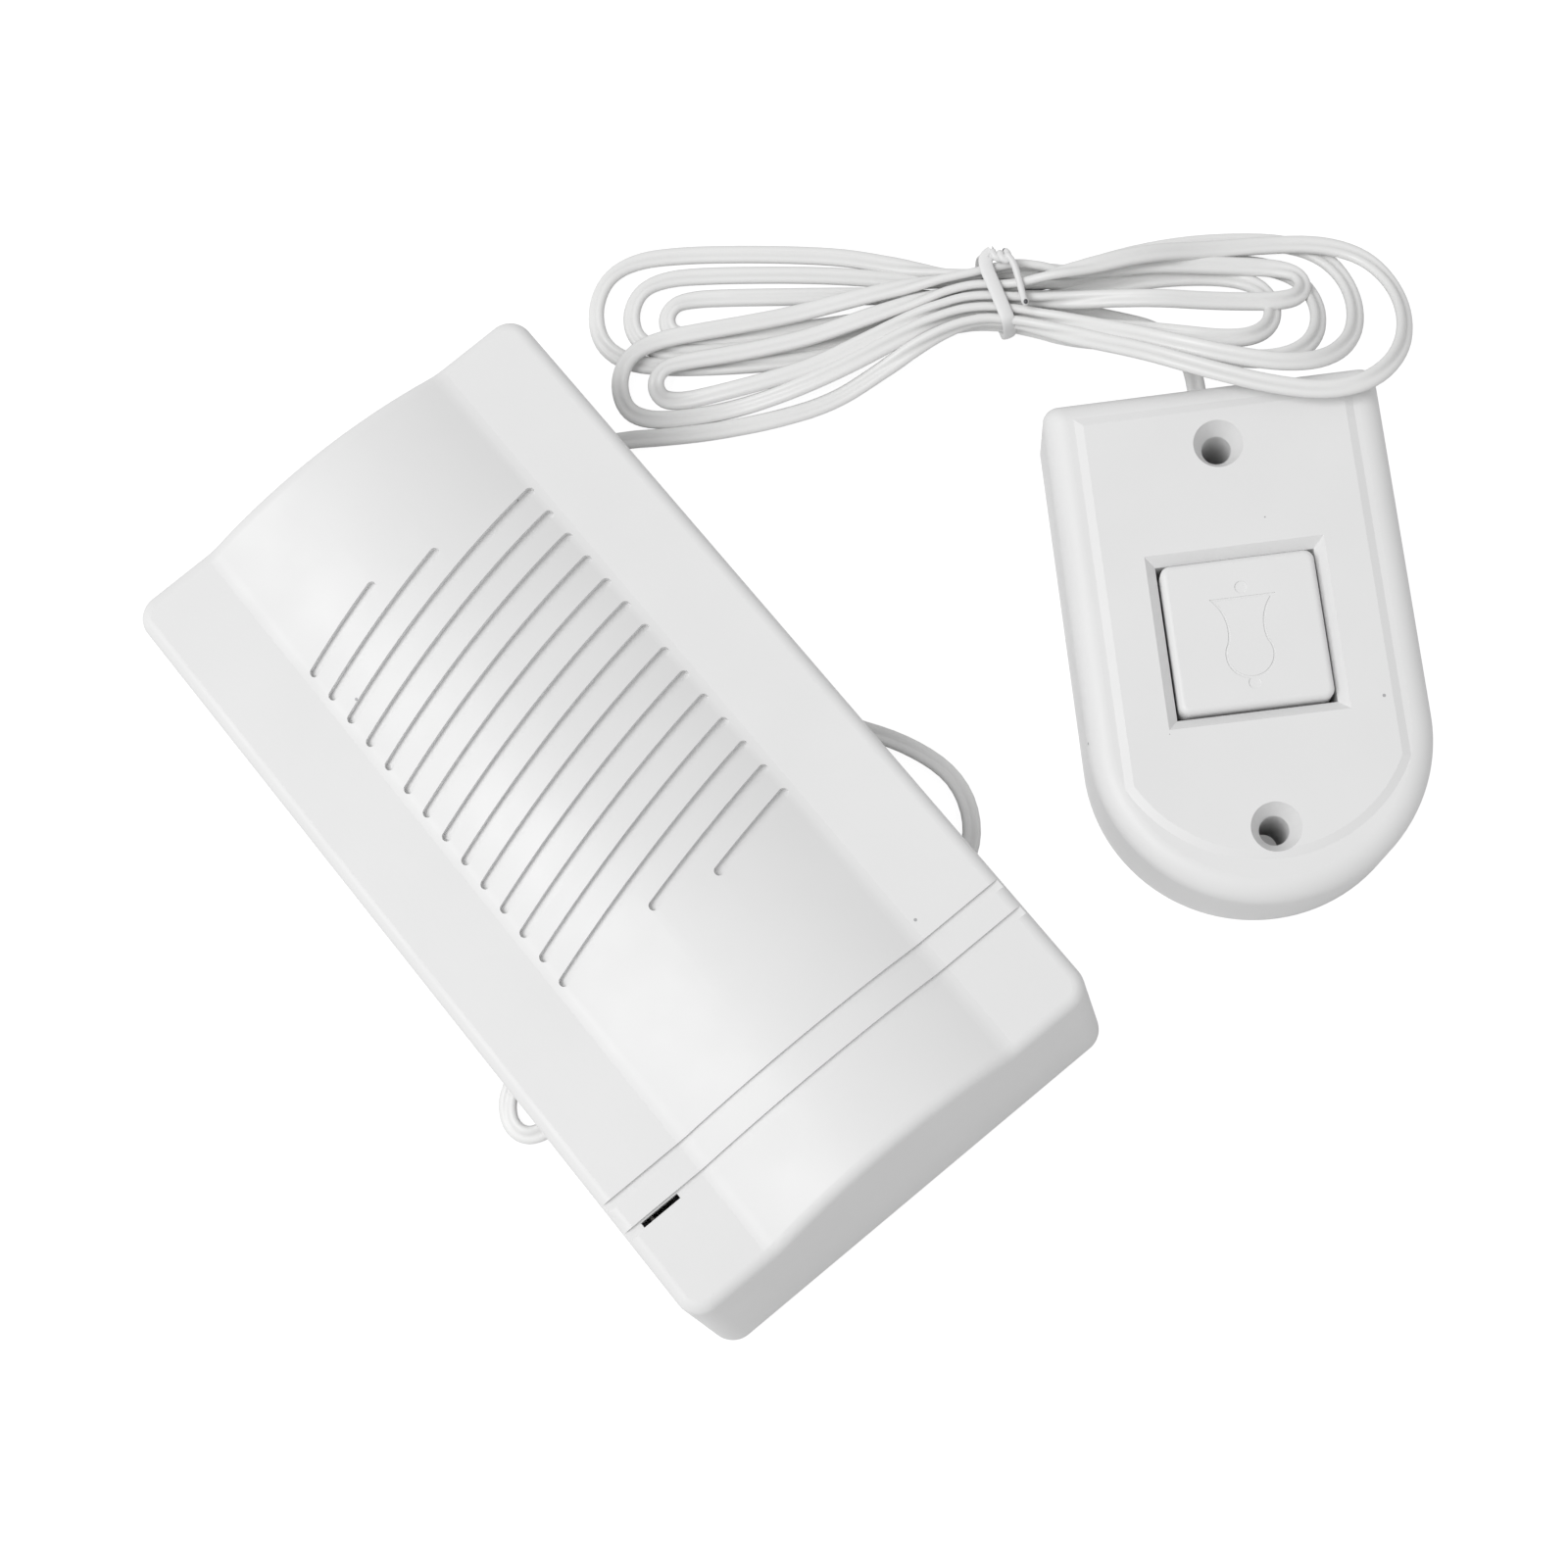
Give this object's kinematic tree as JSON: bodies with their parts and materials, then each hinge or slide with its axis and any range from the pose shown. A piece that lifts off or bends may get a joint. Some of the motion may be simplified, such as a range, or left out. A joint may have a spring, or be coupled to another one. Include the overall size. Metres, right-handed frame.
{
  "type": "wired doorbell",
  "caption": "Battery door chime with a slotted box, a wired push-button unit and a tied hank of bell wire between them.",
  "frame": {"origin": "centre of the wall pad under the chime box", "axes": "+Z out of the wall, away from both backs; +Y along the chime box, away from its battery end; +X across it, towards the push-button unit"},
  "size_m": [0.164, 0.1302, 0.0249],
  "materials": {
    "white_plastic": "satin moulded plastic",
    "cable_white": "satin flexible jacket",
    "tie_white": "satin coated tie",
    "steel": "zinc plated",
    "nickel": "nickel plated",
    "ferrite": "matt ceramic magnet",
    "copper": "enamelled winding",
    "brass_contact": "rolled sheet",
    "paper_cone": "pressed paper",
    "gasket": "pressed card",
    "circuit_board": "plain laminate",
    "black_epoxy": "cast resin",
    "capacitor_sleeve": "shrunk sleeve",
    "resistor_body": "dipped lacquer",
    "cell_jacket": "plain printed sleeve",
    "lead_red": "thin jacket",
    "lead_black": "thin jacket"
  },
  "bodies": {
    "root": {"chime_back_plate": "white_plastic", "speaker_frame": "steel", "speaker_yoke": "steel", "speaker_magnet": "ferrite", "speaker_top_plate": "steel", "speaker_surround": "paper_cone", "speaker_gasket": "gasket", "speaker_screws": "steel", "melody_board": "circuit_board", "board_screws": "steel", "melody_chip": "black_epoxy", "board_transistor": "black_epoxy", "board_capacitor": "capacitor_sleeve", "board_resistors": "resistor_body", "battery_lower": "cell_jacket", "battery_upper": "cell_jacket", "battery_link_plate": "nickel", "battery_positive_plate": "nickel", "battery_negative_plate": "nickel", "battery_springs": "nickel", "battery_leads": "lead_red", "speaker_leads": "lead_black", "bell_wire_in_chime": "cable_white", "wire_clamp": "white_plastic", "button_housing": "white_plastic", "button_base": "white_plastic", "return_spring": "nickel", "contact_strips": "brass_contact", "terminal_screws": "steel", "bell_wire_cores_in_button": "cable_white", "bell_wire_under_chime": "cable_white", "bell_wire_to_button": "cable_white", "bell_wire_hank": "cable_white", "wire_tie": "tie_white"},
    "cover": {"chime_cover": "white_plastic"},
    "cap": {"push_cap": "white_plastic", "contact_bridge": "brass_contact"},
    "cone": {"speaker_cone": "paper_cone", "speaker_dust_cap": "paper_cone", "speaker_voice_coil": "copper"}
  },
  "joints": [
    {"name": "cover_lift", "type": "slide", "parent": "root", "child": "cover", "axis": [0, 0, 1], "range_m": [0, 0.045]},
    {"name": "push_cap_travel", "type": "slide", "parent": "root", "child": "cap", "axis": [0, 0, -1], "range_m": [0, 0.0013], "stiffness_N_per_m": 800, "springref_m": -0.001, "deforming": ["return_spring"]},
    {"name": "speaker_cone_travel", "type": "slide", "parent": "root", "child": "cone", "axis": [0, 0, 1], "range_m": [-0.0004, 0.0004], "stiffness_N_per_m": 1500}
  ]
}
